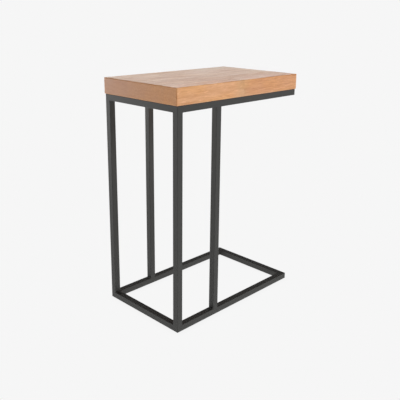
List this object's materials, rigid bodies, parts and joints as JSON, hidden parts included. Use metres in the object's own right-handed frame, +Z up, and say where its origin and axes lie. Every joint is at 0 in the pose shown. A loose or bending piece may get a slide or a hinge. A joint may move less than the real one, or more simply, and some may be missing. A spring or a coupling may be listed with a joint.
{
  "type": "c shaped side table",
  "caption": "C-shaped side table: a thick oak top on a square-tube steel frame that is open at one end, so its base slides under a seat while the top stays over it.",
  "frame": {"origin": "on the floor under the middle of the tabletop", "axes": "+Z up; +X towards the open end of the C; -X towards the closed end with the uprights at its corners; -Y towards the front long side"},
  "size_m": [0.458, 0.277, 0.6255],
  "materials": {
    "oak": "oiled oak, satin",
    "powder_coat": "dark grey powder coat, fine texture, semi-matt",
    "nylon": "black nylon, matt",
    "screw_steel": "zinc plated"
  },
  "bodies": {
    "root": {"back_corner_upright": "powder_coat", "back_mid_upright": "powder_coat", "base_back_rail": "powder_coat", "base_closed_end_rail": "powder_coat", "base_corner_welds": "powder_coat", "base_front_rail": "powder_coat", "base_open_end_rail": "powder_coat", "closed_end_back_glide": "nylon", "closed_end_back_plate": "powder_coat", "closed_end_front_glide": "nylon", "closed_end_front_plate": "powder_coat", "front_corner_upright": "powder_coat", "front_mid_upright": "powder_coat", "oak_stave_1_left": "oak", "oak_stave_1_right": "oak", "oak_stave_2_left": "oak", "oak_stave_2_right": "oak", "oak_stave_3_left": "oak", "oak_stave_3_right": "oak", "oak_stave_4_left": "oak", "oak_stave_4_right": "oak", "oak_stave_5_left": "oak", "oak_stave_5_right": "oak", "oak_stave_6_left": "oak", "oak_stave_6_right": "oak", "open_end_back_glide": "nylon", "open_end_back_plate": "powder_coat", "open_end_front_glide": "nylon", "open_end_front_plate": "powder_coat", "plate_welds": "powder_coat", "top_back_rail": "powder_coat", "top_closed_end_rail": "powder_coat", "top_corner_welds": "powder_coat", "top_front_rail": "powder_coat", "top_open_end_rail": "powder_coat", "top_screws": "screw_steel", "upright_foot_welds": "powder_coat", "upright_head_welds": "powder_coat"}
  },
  "joints": []
}
